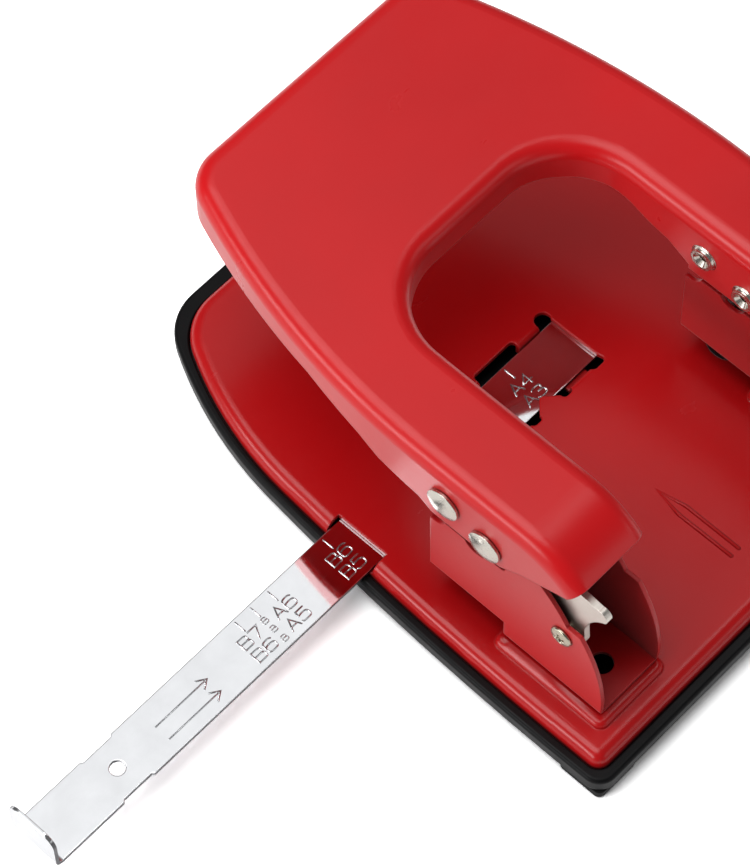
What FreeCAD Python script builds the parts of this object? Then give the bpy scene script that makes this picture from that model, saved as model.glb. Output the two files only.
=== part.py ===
import FreeCAD, Part
import Sketcher
import math
import os
from FreeCAD import Rotation, Vector

# Heavy duty desk punch for two paper holes, 80 mm apart.
# X runs to the right, -Y to the person who presses the lever, Z up. Lengths are millimetres.
# The origin lies on the table, under the middle of the base plate.

SIZES = (
    # Base plate: a pressed steel tray turned upside down
    ("plate_top", 10.0, "top of the base plate above the table"),
    ("sheet", 1.2, "steel of the base plate and of the lever"),
    ("tray_front", 69.8, "front wall from the origin"),
    ("tray_front_half", 30.4, "half of the straight front edge"),
    ("tray_corner", 13.8, "radius of the front corners"),
    ("tray_flank", 98.1, "radius of the flanks behind the corners"),
    ("tray_side", 1000.0, "radius of the sides"),
    ("tray_half", 57.1, "half of the greatest width"),
    ("tray_widest", 56.2, "where the greatest width lies"),
    ("tray_rear", 70.7, "rear wall from the origin"),
    ("tray_rear_corner", 3.0, "radius of the rear corners"),
    ("rim_bend", 3.0, "outer bend radius of the rim"),
    ("boss_rise", 1.5, "raised seat of each post"),
    ("boss_round", 1.4, "rounding of the seat's upper edge"),
    ("boss_corner", 2.2, "corner radius of the seat"),
    ("boss_out", 2.0, "seat beyond the post's outer wall"),
    ("boss_in", 0.4, "seat beyond the post's inner wall"),
    ("boss_front", 0.3, "seat before the end of the paper throat"),
    ("boss_rear", 2.4, "seat behind the post's floor"),
    # Window over the ruler
    ("window_half", 16.6, "half of the window's length"),
    ("window_rear", 5.2, "rear edge of the window"),
    ("relief_in", 12.9, "inner side of the corner reliefs"),
    ("relief_out", 17.0, "outer side of the corner reliefs"),
    ("relief_front", 12.5, "front end of the corner reliefs"),
    ("relief_rear", 6.4, "rear end of the corner reliefs"),
    ("relief_round", 1.1, "rounded corners of the reliefs"),
    ("bay_half", 6.4, "half of the bay in the front edge"),
    ("bay_front", 12.0, "front edge of that bay"),
    ("pointer_tip", 2.4, "tip of the pointer"),
    ("pointer_blunt", 0.45, "half of the pointer's blunt end"),
    ("pointer_half", 3.4, "half width of the pointer"),
    ("pointer_relief", 6.5, "outer side of the reliefs beside the pointer"),
    ("tongue_bend", 1.1, "bend of the tongues at the window's edge"),
    ("tongue_foot", 2.8, "foot of a tongue under the ruler"),
    # Moulded cover under the tray
    ("cover_bottom", 2.4, "underside of the cover above the table"),
    ("cover_floor", 1.4, "thickness of the cover's floor"),
    ("cover_lip", 6.8, "top of the cover's lip above the table"),
    ("cover_front", 73.9, "front of the cover from the origin"),
    ("cover_front_half", 31.4, "half of the straight front"),
    ("cover_corner", 13.75, "radius of the front corners"),
    ("cover_flank", 106.1, "radius of the flanks"),
    ("cover_side", 818.0, "radius of the sides"),
    ("cover_half", 60.0, "half of the greatest width"),
    ("cover_widest", 55.0, "where the greatest width lies"),
    ("cover_rear", 73.7, "rear of the cover from the origin"),
    ("cover_rear_corner", 4.5, "radius of the rear corners"),
    ("cover_round", 1.0, "rounding of the cover's outer edges"),
    ("cover_inner_round", 0.4, "rounding of the lip's inner edge"),
    ("cover_fit", 0.35, "gap between the cover's lip and the tray's wall"),
    ("foot_side", 12.0, "side of a corner foot"),
    ("foot_inset", 0.6, "foot from the cover's outer side"),
    ("foot_corner", 1.6, "corner radius of a foot"),
    ("front_foot_x", 33.0, "front feet from the middle"),
    ("front_foot_y", 61.0, "front feet from the origin"),
    # Ruler
    ("ruler_width", 13.2, "width of the ruler"),
    ("ruler_thick", 0.9, "thickness of the ruler"),
    ("ruler_mid", 2.8, "ruler's middle line before the origin"),
    ("ruler_play", 0.1, "gap above and below the ruler"),
    ("ruler_side_play", 0.5, "gap on each side of the ruler in the rim's slots"),
    ("ruler_stop", 148.5, "inner face of the stop from the middle, at rest"),
    ("ruler_tail", 22.0, "inner end of the ruler beyond the middle"),
    ("stop_height", 11.0, "height of the upturned stop"),
    ("stop_bend", 1.2, "inner bend radius of the stop"),
    ("stop_corner", 3.0, "rounded corners of the stop"),
    ("peg_hole", 3.5, "hole near the stop"),
    ("peg_hole_x", 125.3, "place of that hole"),
    ("nick_length", 9.0, "length of the nicks in both edges"),
    ("nick_depth", 0.5, "depth of the nicks"),
    ("tail_corner", 2.0, "corners of the ruler's inner end"),
    # Lever
    ("lever_front", 68.1, "front edge of the paddle from the origin"),
    ("lever_front_half", 27.7, "half of the straight front edge"),
    ("lever_corner", 10.6, "radius of the paddle's corners"),
    ("lever_flank", 206.7, "radius of the paddle's flanks"),
    ("lever_rear", 56.6, "rear end of the arms"),
    ("arm_half", 10.8, "half width of an arm of the lever"),
    ("opening_front", 19.0, "front edge of the opening between the arms"),
    ("opening_corner", 18.0, "corner radius of the opening"),
    ("lever_top", 64.3, "top of the lever above the table, at rest"),
    ("crown_start", 14.0, "where the gentle rise to the front begins"),
    ("crown_radius", 1000.0, "radius of that rise"),
    ("heel_start", 41.0, "where the arms curve down at the rear"),
    ("heel_radius", 21.5, "radius of that curve"),
    ("lever_round", 4.0, "outer radius of the lever's upper edges"),
    ("skirt_front", 55.4, "lower edge of the paddle's flange"),
    ("skirt_bend_y", 20.0, "where the flange starts to deepen"),
    ("skirt_mid", 48.6, "lower edge where the lobe begins"),
    ("lobe_bottom", 45.2, "lowest edge of the flange's lobe"),
    ("lobe_front", 17.0, "front end of the lobe"),
    ("lobe_rear", 36.0, "rear end of the lobe"),
    ("skirt_rear", 54.5, "lower edge near the rear end"),
    ("inner_skirt", 54.2, "lower edge of the inner flanges"),
    # Posts: channels that stand on the raised seats
    ("post_x", 40.0, "middle of each post, half of the hole distance"),
    ("lever_gap", 0.25, "gap between a post's wall and the lever's flange"),
    ("post_sheet", 1.0, "steel of the posts"),
    ("post_front", 15.4, "front edge of the posts"),
    ("throat_stop", 35.0, "end of the paper throat"),
    ("throat_height", 6.8, "height of the paper throat"),
    ("floor_rear", 63.4, "rear edge of the post's floor"),
    ("post_bend", 2.5, "outer bend radius of the posts"),
    ("post_step_y", 38.0, "where the walls rise behind the notches"),
    ("post_low", 41.0, "top of the walls in front"),
    ("post_high", 52.0, "top of the walls behind"),
    ("shoulder_z", 38.8, "height of the rear shoulder"),
    ("shoulder_y", 56.3, "rear end of the shoulder"),
    ("notch_play", 0.5, "gap round a pressed sleeve in its notch"),
    ("table_hole", 5.2, "hole in the post's floor"),
    ("table_hole_y", 55.8, "place of that hole"),
    ("rear_round", 40.0, "radius of the walls' rear edge"),
    ("slope_round", 36.0, "radius of the walls' upper rear edge"),
    ("post_corner", 1.2, "rounded corners of the walls"),
    # Pivot
    ("pivot_y", 52.3, "pivot from the origin"),
    ("pivot_z", 34.2, "pivot above the table"),
    ("travel", 19.0, "degrees that the lever turns"),
    ("sleeve_outer", 5.0, "outer diameter of the pivot sleeve"),
    ("sleeve_bore", 3.0, "bore of the pivot sleeve"),
    ("sleeve_head", 7.0, "head of the pivot sleeve"),
    ("sleeve_head_thick", 1.0, "thickness of that head"),
    ("screw_head", 5.4, "head of the pivot screw"),
    ("screw_head_thick", 1.2, "thickness of that head"),
    ("fit", 0.05, "running gap of shafts in their holes"),
    # Rivets of the lever
    ("rivet1_y", 20.8, "front rivet, at rest"),
    ("rivet1_z", 53.4, "front rivet above the table"),
    ("rivet2_y", 32.3, "rear rivet, at rest"),
    ("rivet2_z", 49.8, "rear rivet above the table"),
    ("rivet_shank", 3.4, "shank of the long rivets"),
    ("rivet_head", 8.2, "domed head of the long rivets"),
    ("rivet_rim", 0.9, "thickness of the head at its rim"),
    ("rivet_rise", 1.0, "height of the dome above the rim"),
    ("rivet_tail", 6.8, "flared end of the long rivets"),
    ("rivet_tail_thick", 1.2, "height of the flared end"),
    ("spacer_outer", 6.0, "outer diameter of the rivet sleeves"),
    # Arm plates
    ("arm_thick", 1.6, "thickness of an arm plate"),
    ("arm_out", 6.4, "middle of an arm plate, outward from the post's middle"),
    ("eye_radius", 4.2, "eye of the arm plate round the pivot"),
    ("tail_y", 59.9, "middle of the tail's round end, at rest"),
    ("tail_z", 49.7, "its height above the table, at rest"),
    ("tail_round", 1.95, "radius of the tail's end"),
    ("tail_hollow", 14.0, "radius of the hollow under the tail"),
    ("rivet_margin", 5.0, "plate round each rivet"),
    ("nose_radius", 4.8, "plate round the slot"),
    ("under_slot", 3.3, "plate under the slot's middle"),
    ("slot_play", 1.1, "length that the cross pin gains in its slot"),
    ("heel_play", 0.3, "gap between the arm's heel and the post's step"),
    # Punches
    ("punch_y", 23.0, "punch axis, 12 mm before the paper stop"),
    ("punch_bore", 6.0, "diameter of the punch pin"),
    ("punch_gap", 0.5, "punch tip above the throat, at rest"),
    ("cross_z", 39.0, "cross pin above the table, at rest"),
    ("cross_pin", 4.0, "diameter of the cross pin"),
    ("cross_end", 0.35, "gap between the cross pin and the post's outer wall"),
    ("cross_inner", 0.8, "cross pin beyond the inner side of the punch head"),
    ("head_outer", 8.6, "diameter of the punch head"),
    ("head_above", 4.0, "punch head above the cross pin"),
    ("head_below", 5.7, "punch head below the cross pin"),
    ("stroke", 9.8, "way of the punch"),
    ("washer_outer", 12.0, "diameter of the spring washer"),
    ("washer_thick", 1.0, "thickness of the spring washer"),
    ("guide_outer", 9.0, "outer diameter of the punch guide"),
    ("guide_height", 3.6, "punch guide above the post's web"),
    ("die_outer", 12.0, "outer diameter of the die"),
    ("die_height", 4.0, "height of the die"),
    ("die_play", 0.08, "gap between punch and die"),
    ("spring_mean", 10.6, "mean diameter of the return springs"),
    ("spring_wire", 0.8, "wire of the return springs"),
    ("spring_turns", 4.5, "turns of the return springs"),
    ("spring_seat", 0.03, "gap between the wire and its seats"),
    # Rivets between posts and base plate
    ("base_rivet_back", 4.9, "first of these rivets behind the post's step"),
    ("base_rivet_pitch", 6.6, "second rivet behind the first"),
    ("base_rivet_shank", 3.4, "their shank"),
    ("base_rivet_head", 5.8, "their domed head"),
    ("base_rivet_rise", 1.4, "height of the dome"),
)

doc = FreeCAD.newDocument("HolePunch")
sheet = doc.addObject("Spreadsheet::Sheet", "Sizes")


class Size:
    """A number together with its formula in the sheet."""

    def __init__(self, number, formula=None):
        self.number = float(number)
        self.formula = formula or "(%s)" % number

    def _with(self, other, sign, number):
        return Size(number, "(%s %s %s)" % (self.formula, sign, other.formula))

    def __add__(self, other):
        other = as_size(other)
        return self._with(other, "+", self.number + other.number)

    def __sub__(self, other):
        other = as_size(other)
        return self._with(other, "-", self.number - other.number)

    def __mul__(self, other):
        other = as_size(other)
        return self._with(other, "*", self.number * other.number)

    def __truediv__(self, other):
        other = as_size(other)
        return self._with(other, "/", self.number / other.number)

    def __neg__(self):
        return Size(-self.number, "(0 - %s)" % self.formula)

    def root(self):
        return Size(math.sqrt(self.number), "sqrt(%s)" % self.formula)

    def sine(self):
        return Size(math.sin(math.radians(self.number)), "sin(%s * 1 deg)" % self.formula)

    def cosine(self):
        return Size(math.cos(math.radians(self.number)), "cos(%s * 1 deg)" % self.formula)


def as_size(value):
    return value if isinstance(value, Size) else Size(value)


class Sheet:
    """All named sizes, read as attributes."""

    def __init__(self):
        for row, (name, number, meaning) in enumerate(SIZES, 1):
            sheet.set("A%d" % row, name)
            sheet.set("B%d" % row, str(number))
            sheet.set("C%d" % row, meaning)
            sheet.setAlias("B%d" % row, name)
            setattr(self, name, Size(number, "Sizes." + name))


size = Sheet()
doc.recompute()

ZERO = Size(0)


# Sketches and features

def start_body(name, many=False):
    body = doc.addObject("PartDesign::Body", name)
    body.Label = name
    body.AllowCompound = many
    return body


def place(body, x=ZERO, y=ZERO, z=ZERO):
    for axis, value in zip("xyz", (x, y, z)):
        body.setExpression(".Placement.Base." + axis, as_size(value).formula)
    return body


def own_plane(body, role):
    return [item for item in body.Origin.OriginFeatures if item.Role == role][0]


def start_sketch(body, plane, lift=ZERO):
    """An empty sketch on one of the body's own planes, lifted along its normal."""
    art = body.newObject("Sketcher::SketchObject", "Sketch")
    art.AttachmentSupport = (own_plane(body, plane + "_Plane"), [""])
    art.MapMode = "FlatFace"
    art.setExpression(".AttachmentOffset.Base.z", as_size(lift).formula)
    return art


def bind(art, kind, parts, value):
    """Add one constraint and tie it to the sheet."""
    index = art.addConstraint(Sketcher.Constraint(kind, *parts, value.number))
    art.setExpression("Constraints[%d]" % index, value.formula)


def pin(art, geometry, end, point):
    bind(art, "DistanceX", (-1, 1, geometry, end), point[0])
    bind(art, "DistanceY", (-1, 1, geometry, end), point[1])


def arc_between(first, last, radius, turn):
    """Arc from first to last; turn is +1 where it bends to the left, -1 to the right."""
    chord = last - first
    middle = (first + last) / 2
    height = math.sqrt(max(radius ** 2 - chord.Length ** 2 / 4, 0))
    left = Vector(-chord.y, chord.x, 0).normalize()
    centre = middle + left * height * turn
    angles = [math.atan2((p - centre).y, (p - centre).x) for p in (first, last)]
    circle = Part.Circle(centre, Vector(0, 0, 1), radius)
    if turn > 0:
        return Part.ArcOfCircle(circle, angles[0], angles[1]), 1
    return Part.ArcOfCircle(circle, angles[1], angles[0]), 2


def pin_arc(art, geometry, corner, following, chord):
    """An arc's radius, or for a half circle its centre along the slot."""
    if chord.Length < corner[2].number * 1.999:
        bind(art, "Radius", (geometry,), corner[2])
    elif abs(chord.y) > abs(chord.x):
        bind(art, "DistanceX", (-1, 1, geometry, 3), (corner[0] + following[0]) / 2)
    else:
        bind(art, "DistanceY", (-1, 1, geometry, 3), (corner[1] + following[1]) / 2)


def draw_loop(art, loop):
    """One closed outline: each corner is (u, v), or (u, v, radius, turn) where an arc starts."""
    loop = [tuple(as_size(part) for part in corner[:3]) + corner[3:] for corner in loop]
    points = [Vector(corner[0].number, corner[1].number, 0) for corner in loop]
    ends = []
    for index, corner in enumerate(loop):
        first, last = points[index], points[(index + 1) % len(points)]
        if len(corner) == 4:
            arc, start = arc_between(first, last, corner[2].number, corner[3])
            ends.append((art.addGeometry(arc, False), start))
            pin_arc(art, ends[-1][0], corner, loop[(index + 1) % len(loop)], last - first)
        else:
            ends.append((art.addGeometry(Part.LineSegment(first, last), False), 1))
    for index, (geometry, start) in enumerate(ends):
        before, before_start = ends[index - 1]
        art.addConstraint(Sketcher.Constraint("Coincident", before, 3 - before_start, geometry, start))
        pin(art, geometry, start, loop[index])


def draw_ring(art, centre, radius):
    centre = [as_size(value) for value in centre]
    circle = Part.Circle(Vector(centre[0].number, centre[1].number, 0), Vector(0, 0, 1), radius.number)
    geometry = art.addGeometry(circle, False)
    bind(art, "Radius", (geometry,), radius)
    pin(art, geometry, 3, centre)


def draw(art, loops=(), rings=()):
    for loop in loops:
        draw_loop(art, loop)
    for centre, radius in rings:
        draw_ring(art, centre, radius)
    return art


def extrude(body, kind, art, length, symmetric=False):
    feature = body.newObject("PartDesign::" + kind, kind)
    feature.Profile = art
    feature.setExpression("Length", length.formula)
    if symmetric:
        feature.SideType = "Symmetric"
    return feature


def add_slab(body, plane, low, high, loops=(), rings=()):
    """Material between two heights over a plane."""
    art = draw(start_sketch(body, plane, low), loops, rings)
    return extrude(body, "Pad", art, as_size(high) - low)


def cut_slab(body, plane, low, high, loops=(), rings=()):
    """Empty space between two heights over a plane."""
    art = draw(start_sketch(body, plane, high), loops, rings)
    return extrude(body, "Pocket", art, as_size(high) - low)


def add_across(body, plane, width, loops=(), rings=()):
    return extrude(body, "Pad", draw(start_sketch(body, plane), loops, rings), as_size(width), True)


def cut_across(body, plane, width, loops=(), rings=()):
    return extrude(body, "Pocket", draw(start_sketch(body, plane), loops, rings), as_size(width), True)


def turn_profile(body, loop, axis="V_Axis", plane="XZ"):
    """A turned solid: the outline spun round the sketch's axis."""
    art = draw(start_sketch(body, plane), [loop])
    feature = body.newObject("PartDesign::Revolution", "Revolution")
    feature.Profile = art
    feature.ReferenceAxis = (art, [axis])
    feature.Angle = 360.0
    return feature


def edges_where(body, test):
    doc.recompute()
    edges = body.Tip.Shape.Edges
    return ["Edge%d" % number for number, edge in enumerate(edges, 1) if test(edge)]


def soften(body, kind, radius, test):
    """Fillet or chamfer on the edges that pass the test."""
    names = edges_where(body, test)
    base = body.Tip
    feature = body.newObject("PartDesign::" + kind, kind)
    feature.Base = (base, names)
    feature.setExpression("Radius" if kind == "Fillet" else "Size", radius.formula)
    return feature


def near(value, wanted):
    return abs(value - wanted.number) < 0.001


def flat_at(edge, axis, wanted):
    """True where the whole edge lies at one coordinate."""
    box = edge.BoundBox
    low, high = getattr(box, axis + "Min"), getattr(box, axis + "Max")
    return near(low, as_size(wanted)) and near(high, as_size(wanted))


def upright(edge):
    return edge.BoundBox.ZLength > 0.01 and edge.BoundBox.XLength + edge.BoundBox.YLength < 0.001


def group(name, bodies):
    node = doc.addObject("Part::Compound", name)
    node.Label = name
    node.Links = bodies
    return node


def mirrored(loop):
    """The same outline on the other side of the middle plane."""
    return [(-as_size(c[0]), c[1]) + ((c[2], -c[3]) if len(c) == 4 else ()) for c in loop]


def both(loop):
    return [loop, mirrored(loop)]


def returning(path):
    """The same path on the other side of the middle plane, walked backwards."""
    back = []
    for index in range(len(path) - 1, -1, -1):
        arc = path[index - 1][2:] if index > 0 else ()
        back.append((-as_size(path[index][0]), path[index][1]) + arc)
    return back


def rectangle(left, right, low, high):
    return [(left, low), (right, low), (right, high), (left, high)]


# Outlines of the base and the lever: arcs that run into each other

def tangent_centre(first, first_reach, second, second_reach):
    """Centre at given distances from two other centres, on the right of the way between them."""
    gap = second - first
    along = (first_reach ** 2 - second_reach ** 2 + gap.Length ** 2) / (2 * gap.Length)
    across = math.sqrt(first_reach ** 2 - along ** 2)
    unit = Vector(gap).normalize()
    return first + unit * along + Vector(unit.y, -unit.x, 0) * across


def touch(centre, other, radius):
    """Point of a circle that faces away from another centre."""
    return centre + (centre - other).normalize() * radius


def body_outline(art, front, front_half, corner, flank, side, half, widest, rear):
    """Closed outline of the base: straight front, corners, flanks, nearly straight sides, rear."""
    corner_centre = Vector(front_half.number, -front.number + corner.number, 0)
    side_centre = Vector(half.number - side.number, widest.number, 0)
    flank_centre = tangent_centre(corner_centre, flank.number - corner.number,
                                  side_centre, side.number - flank.number)
    start = Vector(front_half.number, -front.number, 0)
    first = touch(corner_centre, flank_centre, corner.number)
    second = touch(flank_centre, side_centre, flank.number)
    drop = rear.number - widest.number
    last = Vector(side_centre.x + math.sqrt(side.number ** 2 - drop ** 2), rear.number, 0)
    right = [arc_between(start, first, corner.number, 1)[0],
             arc_between(first, second, flank.number, 1)[0],
             arc_between(second, last, side.number, 1)[0]]
    flip = [Vector(-p.x, p.y, 0) for p in (last, second, first, start)]
    left = [arc_between(flip[0], flip[1], side.number, 1)[0],
            arc_between(flip[1], flip[2], flank.number, 1)[0],
            arc_between(flip[2], flip[3], corner.number, 1)[0]]
    front_line = art.addGeometry(Part.LineSegment(flip[3], start), False)
    chain = [art.addGeometry(arc, False) for arc in right]
    rear_line = art.addGeometry(Part.LineSegment(last, flip[0]), False)
    back = [art.addGeometry(arc, False) for arc in left]
    order = [front_line] + chain + [rear_line] + back
    smooth = {(order[i], order[i + 1]) for i in (0, 1, 2, 5, 6)} | {(order[7], order[0])}
    for before, after in zip(order, order[1:] + order[:1]):
        kind = "Tangent" if (before, after) in smooth else "Coincident"
        art.addConstraint(Sketcher.Constraint(kind, before, 2, after, 1))
    for geometry, radius in zip(chain + back, (corner, flank, side, side, flank, corner)):
        bind(art, "Radius", (geometry,), radius)
    pin(art, front_line, 1, (-front_half, -front))
    pin(art, front_line, 2, (front_half, -front))
    pin(art, chain[2], 3, (half - side, widest))
    pin(art, back[0], 3, (side - half, widest))
    bind(art, "DistanceY", (-1, 1, rear_line, 1), rear)
    bind(art, "DistanceY", (-1, 1, rear_line, 2), rear)
    return art


def tray_outline(art, inset):
    """The tray's outer wall, moved inward by the inset."""
    return body_outline(art, size.tray_front - inset, size.tray_front_half, size.tray_corner - inset,
                        size.tray_flank - inset, size.tray_side - inset, size.tray_half - inset,
                        size.tray_widest, size.tray_rear - inset)


def cover_outline(art):
    return body_outline(art, size.cover_front, size.cover_front_half, size.cover_corner,
                        size.cover_flank, size.cover_side, size.cover_half,
                        size.cover_widest, size.cover_rear)


def lever_outline(art):
    """Closed outline of the lever: paddle in front, straight sides along both arms."""
    half = size.post_x + size.arm_half
    corner, flank = size.lever_corner, size.lever_flank
    corner_centre = Vector(size.lever_front_half.number, corner.number - size.lever_front.number, 0)
    across = corner_centre.x - (half.number - flank.number)
    along = math.sqrt((flank.number - corner.number) ** 2 - across ** 2)
    flank_centre = Vector(half.number - flank.number, corner_centre.y + along, 0)
    start = Vector(corner_centre.x, -size.lever_front.number, 0)
    first = touch(corner_centre, flank_centre, corner.number)
    second = Vector(half.number, flank_centre.y, 0)
    last = Vector(half.number, size.lever_rear.number, 0)
    points = [start, first, second, last]
    flip = [Vector(-p.x, p.y, 0) for p in reversed(points)]
    shapes = [Part.LineSegment(flip[3], start),
              arc_between(start, first, corner.number, 1)[0],
              arc_between(first, second, flank.number, 1)[0],
              Part.LineSegment(second, last),
              Part.LineSegment(last, flip[0]),
              Part.LineSegment(flip[0], flip[1]),
              arc_between(flip[1], flip[2], flank.number, 1)[0],
              arc_between(flip[2], flip[3], corner.number, 1)[0]]
    order = [art.addGeometry(shape, False) for shape in shapes]
    for index, (before, after) in enumerate(zip(order, order[1:] + order[:1])):
        kind = "Coincident" if index in (3, 4) else "Tangent"
        art.addConstraint(Sketcher.Constraint(kind, before, 2, after, 1))
    for index, radius in ((1, corner), (2, flank), (6, flank), (7, corner)):
        bind(art, "Radius", (order[index],), radius)
    pin(art, order[0], 1, (-size.lever_front_half, -size.lever_front))
    pin(art, order[0], 2, (size.lever_front_half, -size.lever_front))
    pin(art, order[4], 1, (half, size.lever_rear))
    pin(art, order[4], 2, (-half, size.lever_rear))
    art.addConstraint(Sketcher.Constraint("Vertical", order[3]))
    art.addConstraint(Sketcher.Constraint("Vertical", order[5]))
    return art


# Heights and places that several pieces share

plate_under = size.plate_top - size.sheet
cover_inside = size.cover_bottom + size.cover_floor
boss_top = size.plate_top + size.boss_rise
post_half = size.arm_half - size.sheet - size.lever_gap
post_inside = post_half - size.post_sheet
web_under = size.plate_top + size.throat_height
web_top = web_under + size.post_sheet
step_y = size.throat_stop + size.post_sheet
floor_top = boss_top + size.post_sheet
base_rivet_rows = (step_y + size.base_rivet_back, step_y + size.base_rivet_back + size.base_rivet_pitch)
window_front = -size.ruler_mid - size.ruler_width / 2 - size.ruler_play * 2
ruler_top = plate_under - size.ruler_play
ruler_under = ruler_top - size.ruler_thick
arm_inside = size.arm_out - size.arm_thick / 2
arm_outside = size.arm_out + size.arm_thick / 2
head_under = size.cross_z - size.head_below
washer_under = head_under - size.washer_thick


def pressed(y, z):
    """Where a point of the lever lies once the lever is down."""
    across, above = y - size.pivot_y, z - size.pivot_z
    turn, rise = size.travel.cosine(), size.travel.sine()
    return (size.pivot_y + across * turn - above * rise, size.pivot_z + across * rise + above * turn)


# Base plate

def window_path():
    """Right half of the window's edge, from the pointer to the bay in front."""
    rear, low, bend = size.window_rear, -size.relief_front, size.relief_round
    slot = (size.relief_out - size.relief_in) / 2
    return [(size.pointer_blunt, size.pointer_tip), (size.pointer_half, rear),
            (size.pointer_half, size.relief_rear - bend, bend, -1),
            (size.pointer_half + bend, size.relief_rear),
            (size.pointer_relief - bend, size.relief_rear, bend, -1),
            (size.pointer_relief, size.relief_rear - bend), (size.pointer_relief, rear),
            (size.relief_in, rear), (size.relief_in, size.relief_rear - bend, bend, -1),
            (size.relief_in + bend, size.relief_rear),
            (size.relief_out - bend, size.relief_rear, bend, -1),
            (size.relief_out, size.relief_rear - bend), (size.window_half, rear - 1.6),
            (size.window_half, window_front), (size.relief_out, window_front - 0.5),
            (size.relief_out, low + slot, slot, -1), (size.relief_out - slot, low, slot, -1),
            (size.relief_in, low + slot), (size.relief_in, window_front),
            (size.bay_half, window_front), (size.bay_half, bend - size.bay_front, bend, -1),
            (size.bay_half - bend, -size.bay_front)]


def window_loop():
    path = window_path()
    return path + returning(path)


def boss_loop(inset):
    left = size.post_x - post_half - size.boss_in + inset
    right = size.post_x + post_half + size.boss_out - inset
    front, rear = size.throat_stop - size.boss_front + inset, size.floor_rear + size.boss_rear - inset
    return rectangle(left, right, front, rear)


def make_base_plate():
    body = start_body("base_plate")
    outline = tray_outline(start_sketch(body, "XY", cover_inside), ZERO)
    extrude(body, "Pad", outline, size.plate_top - cover_inside)
    hollow = tray_outline(start_sketch(body, "XY", plate_under), size.sheet)
    extrude(body, "Pocket", hollow, plate_under - cover_inside)
    soften(body, "Fillet", size.tray_rear_corner,
           lambda e: upright(e) and near(e.BoundBox.YMax, size.tray_rear))
    soften(body, "Fillet", size.tray_rear_corner - size.sheet,
           lambda e: upright(e) and near(e.BoundBox.YMax, size.tray_rear - size.sheet))
    soften(body, "Fillet", size.rim_bend, lambda e: flat_at(e, "Z", size.plate_top))
    soften(body, "Fillet", size.rim_bend - size.sheet, lambda e: flat_at(e, "Z", plate_under))
    add_slab(body, "XY", size.plate_top, boss_top, both(boss_loop(ZERO)))
    soften(body, "Fillet", size.boss_corner,
           lambda e: upright(e) and near(e.BoundBox.ZMax, boss_top))
    soften(body, "Fillet", size.boss_round, lambda e: flat_at(e, "Z", boss_top))
    cut_slab(body, "XY", plate_under, boss_top - size.sheet, both(boss_loop(size.sheet)))
    cut_slab(body, "XY", plate_under, size.plate_top, [window_loop()])
    cut_slab(body, "XY", plate_under, size.plate_top,
             rings=[((side * size.post_x, size.punch_y), size.die_outer / 2) for side in (RIGHT, LEFT)])
    soften(body, "Fillet", size.tongue_bend, tongue_edge)
    add_tongues(body)
    slot_low, slot_high = ruler_edges(size.ruler_side_play)
    inner = size.tray_half - size.rim_bend * 2
    cut_slab(body, "XY", ruler_under - size.ruler_play, size.plate_top,
             both(rectangle(inner, size.tray_half + size.rim_bend, slot_low, slot_high)))
    cut_seat_holes(body)
    return body


def tongue_edge(edge):
    """True for the four top edges of the window where a tongue bends down."""
    box = edge.BoundBox
    if not flat_at(edge, "Z", size.plate_top):
        return False
    reach = max(abs(box.XMin), abs(box.XMax))
    front = flat_at(edge, "Y", window_front)
    rear = flat_at(edge, "Y", size.window_rear)
    return near(reach, size.relief_in) and (front or rear)


def cut_seat_holes(body):
    centres = [(side * size.post_x, y) for side in (RIGHT, LEFT) for y in base_rivet_rows]
    rings = [(centre, size.base_rivet_shank / 2) for centre in centres]
    wide = size.table_hole / 2 + size.notch_play
    rings += [((side * size.post_x, size.table_hole_y), wide) for side in (RIGHT, LEFT)]
    cut_slab(body, "XY", boss_top - size.sheet, boss_top, rings=rings)


def ruler_edges(play):
    half = size.ruler_width / 2 + play
    return -size.ruler_mid - half, -size.ruler_mid + half


def add_tongues(body):
    """Four hooks bent down from the plate; the ruler slides in them."""
    low, high = ruler_edges(size.ruler_play * 2)
    foot_top = ruler_under - size.ruler_play
    foot_under = foot_top - size.sheet
    front = rectangle(size.bay_half, size.relief_in, low - size.sheet, low)
    rear_face = size.window_rear
    rear = rectangle(size.pointer_relief, size.relief_in, rear_face, rear_face + size.sheet)
    add_slab(body, "XY", foot_under, plate_under, both(front) + both(rear))
    front_foot = rectangle(size.bay_half, size.relief_in, low - size.sheet, low + size.tongue_foot)
    rear_foot = rectangle(size.pointer_relief, size.relief_in,
                          high - size.tongue_foot, rear_face + size.sheet)
    add_slab(body, "XY", foot_under, foot_top, both(front_foot) + both(rear_foot))


# Cover and feet

def make_cover():
    body = start_body("base_cover")
    outline = cover_outline(start_sketch(body, "XY", size.cover_bottom))
    extrude(body, "Pad", outline, size.cover_lip - size.cover_bottom)
    soften(body, "Fillet", size.cover_rear_corner,
           lambda e: upright(e) and near(e.BoundBox.YMax, size.cover_rear))
    soften(body, "Fillet", size.cover_round,
           lambda e: flat_at(e, "Z", size.cover_lip) or flat_at(e, "Z", size.cover_bottom))
    hollow = tray_outline(start_sketch(body, "XY", size.cover_lip), -size.cover_fit)
    extrude(body, "Pocket", hollow, size.cover_lip - cover_inside)
    soften(body, "Fillet", size.tray_rear_corner + size.cover_fit,
           lambda e: upright(e) and near(e.BoundBox.YMax, size.tray_rear + size.cover_fit))
    soften(body, "Fillet", size.cover_inner_round, lip_inner_edge)
    return body


def lip_inner_edge(edge):
    box = edge.BoundBox
    within = box.YMax < size.tray_rear.number + size.cover_fit.number + 0.01
    inside = max(abs(box.XMin), abs(box.XMax)) < size.tray_half.number + size.cover_fit.number + 6.0
    return flat_at(edge, "Z", size.cover_lip) and within and inside


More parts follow.
